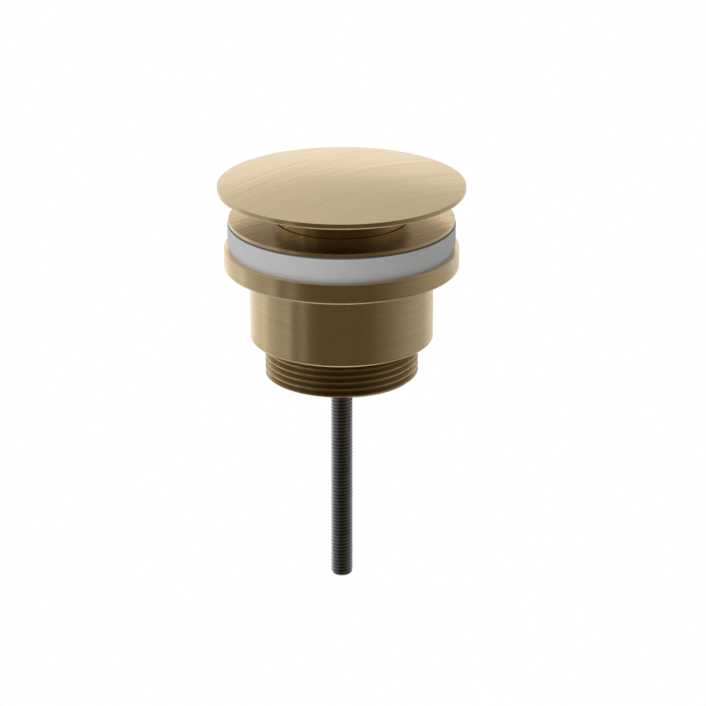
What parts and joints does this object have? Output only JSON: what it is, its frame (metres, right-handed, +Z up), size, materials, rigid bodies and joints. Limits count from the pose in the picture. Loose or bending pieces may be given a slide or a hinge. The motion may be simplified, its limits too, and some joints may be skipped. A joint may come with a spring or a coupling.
{
  "type": "pop up basin waste",
  "caption": "Push-button basin drain with a domed brushed brass plug, a white gasket, a threaded tail and a long tie screw that clamps it to the basin.",
  "frame": {"origin": "centre of the seat plane, where the seal under the upper flange rests on the basin", "axes": "+Z up along the waste's axis, towards the cap; +X and +Y lie in the seat plane, +X between two arms of each spider"},
  "size_m": [0.0676, 0.0676, 0.1183],
  "materials": {
    "brushed_brass": "brushed, champagne gold",
    "plain_brass": "turned, bare",
    "steel": "plain, bright zinc",
    "black_rubber": "moulded, matt",
    "white_silicone": "moulded, satin white",
    "white_acetal": "moulded",
    "black_acetal": "moulded"
  },
  "bodies": {
    "flange_set": {"upper_flange": "brushed_brass", "flange_seal": "black_rubber", "spigot_ring": "black_rubber"},
    "tie_screw": {"tie_rod": "steel", "screw_head": "plain_brass", "head_washer": "steel", "hub_washer": "steel", "lock_nut": "steel", "cartridge_sleeve": "plain_brass", "guide_bush": "plain_brass", "retaining_ring": "steel", "return_spring": "steel"},
    "plug": {"dome_cap": "brushed_brass", "cap_washer": "white_acetal", "seal_carrier": "brushed_brass", "plug_seal": "black_rubber", "plunger": "plain_brass"},
    "ring": {"index_ring": "black_acetal"},
    "tail": {"basin_gasket": "white_silicone", "tail_body": "brushed_brass", "tail_bridge": "plain_brass"}
  },
  "joints": [
    {"name": "tail_clamp", "type": "slide", "parent": "flange_set", "child": "tail", "axis": [0, 0, -1], "range_m": [0, 0.05]},
    {"name": "screw_turn", "type": "hinge", "parent": "flange_set", "child": "tie_screw", "pos_m": [0, 0, 0], "axis": [0, 0, 1], "range_deg": [0, 18000]},
    {"name": "plug_push", "type": "slide", "parent": "tie_screw", "child": "plug", "axis": [0, 0, -1], "range_m": [0, 0.0074], "stiffness_N_per_m": 900, "springref_m": -0.01, "deforming": ["return_spring"]},
    {"name": "index_turn", "type": "hinge", "parent": "tie_screw", "child": "ring", "pos_m": [0, 0, -0.0078], "axis": [0, 0, 1], "range_deg": [-1, 31]}
  ],
  "couplings": [
    {"joint": "screw_turn", "follows": "tail_clamp", "rad_per_m": 6283.2},
    {"joint": "index_turn", "follows": "plug_push", "rad_per_m": 70.756}
  ]
}
